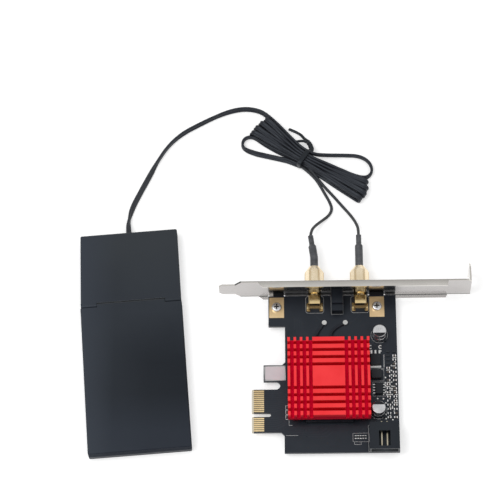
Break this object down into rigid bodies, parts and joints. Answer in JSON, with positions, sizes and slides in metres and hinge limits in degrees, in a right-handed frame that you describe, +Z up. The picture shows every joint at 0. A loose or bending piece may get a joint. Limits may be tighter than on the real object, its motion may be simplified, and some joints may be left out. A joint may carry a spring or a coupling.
{
  "type": "pcie wifi card with folding antenna",
  "caption": "Desktop wireless network card with metal bracket, finned red heat sink and edge connector, wired by two coaxial leads in a tied hank to a flat folding antenna.",
  "frame": {"origin": "middle of the footprint of card and antenna together, on the table they lie on", "axes": "+X along the bracket towards its chassis tab, +Y from the board out through the bracket, +Z up"},
  "size_m": [0.1873, 0.1826, 0.0184],
  "materials": {
    "solder_mask": "black solder mask on glass laminate, satin",
    "gold_plate": "gold flash over nickel and brass, bright",
    "pale_field": "pale bare field on the keeper hook",
    "bracket_steel": "nickel-plated steel sheet",
    "screw_steel": "nickel-plated steel, bright",
    "red_anodised": "red anodised aluminium, satin",
    "tinned_steel": "tin plate",
    "grey_pad": "soft grey silicone pad",
    "black_moulding": "black moulded plastic",
    "cable_jacket": "soft black cable jacket",
    "white_insulator": "white fluoropolymer",
    "heat_shrink": "black heat-shrink sleeve",
    "lamp_plastic": "clear lamp resin",
    "capacitor_aluminium": "bright can, marked half black",
    "chip_epoxy": "black moulded epoxy",
    "coil_ferrite": "dark grey ferrite",
    "chip_ceramic": "tan ceramic with tinned ends",
    "antenna_plastic": "fine satin black plastic",
    "radiator_laminate": "green laminate with copper",
    "tie_plastic": "black plastic over wire"
  },
  "bodies": {
    "card": {"circuit_board": "solder_mask", "edge_contacts": "gold_plate", "screw_lands": "gold_plate", "keeper_field": "pale_field", "bracket": "bracket_steel", "bracket_screws": "screw_steel", "heat_sink": "red_anodised", "heat_sink_screws": "screw_steel", "module_board": "solder_mask", "module_shield": "tinned_steel", "thermal_pad": "grey_pad", "module_socket": "black_moulding", "module_standoff": "tinned_steel", "module_screw": "screw_steel", "pigtail_plugs": "tinned_steel", "pigtail_leads": "cable_jacket", "left_jack": "gold_plate", "right_jack": "gold_plate", "jack_insulators": "white_insulator", "jack_pins": "gold_plate", "left_plug_body": "gold_plate", "right_plug_body": "gold_plate", "plug_pins": "gold_plate", "left_sleeve": "heat_shrink", "right_sleeve": "heat_shrink", "lamp_holder": "black_moulding", "lamp_legs": "tinned_steel", "status_lamp": "lamp_plastic", "capacitor_cans": "capacitor_aluminium", "capacitor_bases": "black_moulding", "regulator": "chip_epoxy", "regulator_leads": "tinned_steel", "power_coil": "coil_ferrite", "logic_chip": "chip_epoxy", "logic_chip_pins": "tinned_steel", "chip_capacitors": "chip_ceramic", "chip_resistors": "chip_epoxy", "header_housing": "black_moulding", "header_pins": "gold_plate", "base_top_shell": "antenna_plastic", "base_bottom_cover": "antenna_plastic", "base_weight": "screw_steel", "cable_bushing": "cable_jacket", "hinge_pins": "screw_steel", "twin_cable": "cable_jacket", "left_lead": "cable_jacket", "right_lead": "cable_jacket", "left_loose_loop": "cable_jacket", "right_loose_loop": "cable_jacket", "cable_hank": "cable_jacket", "twist_tie": "tie_plastic", "tie_tail": "tie_plastic"},
    "blade": {"blade_front_shell": "antenna_plastic", "blade_back_cover": "antenna_plastic", "radiator_boards": "radiator_laminate"},
    "left_nut": {"left_coupling_nut": "gold_plate"},
    "right_nut": {"right_coupling_nut": "gold_plate"}
  },
  "joints": [
    {"name": "antenna_fold", "type": "hinge", "parent": "card", "child": "blade", "pos_m": [-0.06865, 0.019, 0.006], "axis": [-0.9973, -0.0732, 0], "range_deg": [0, 90]},
    {"name": "left_nut_spin", "type": "hinge", "parent": "card", "child": "left_nut", "pos_m": [0.01915, 0.03125, 0.0069], "axis": [0, 1, 0], "continuous": true},
    {"name": "right_nut_spin", "type": "hinge", "parent": "card", "child": "right_nut", "pos_m": [0.04075, 0.03125, 0.0069], "axis": [0, 1, 0], "continuous": true}
  ]
}
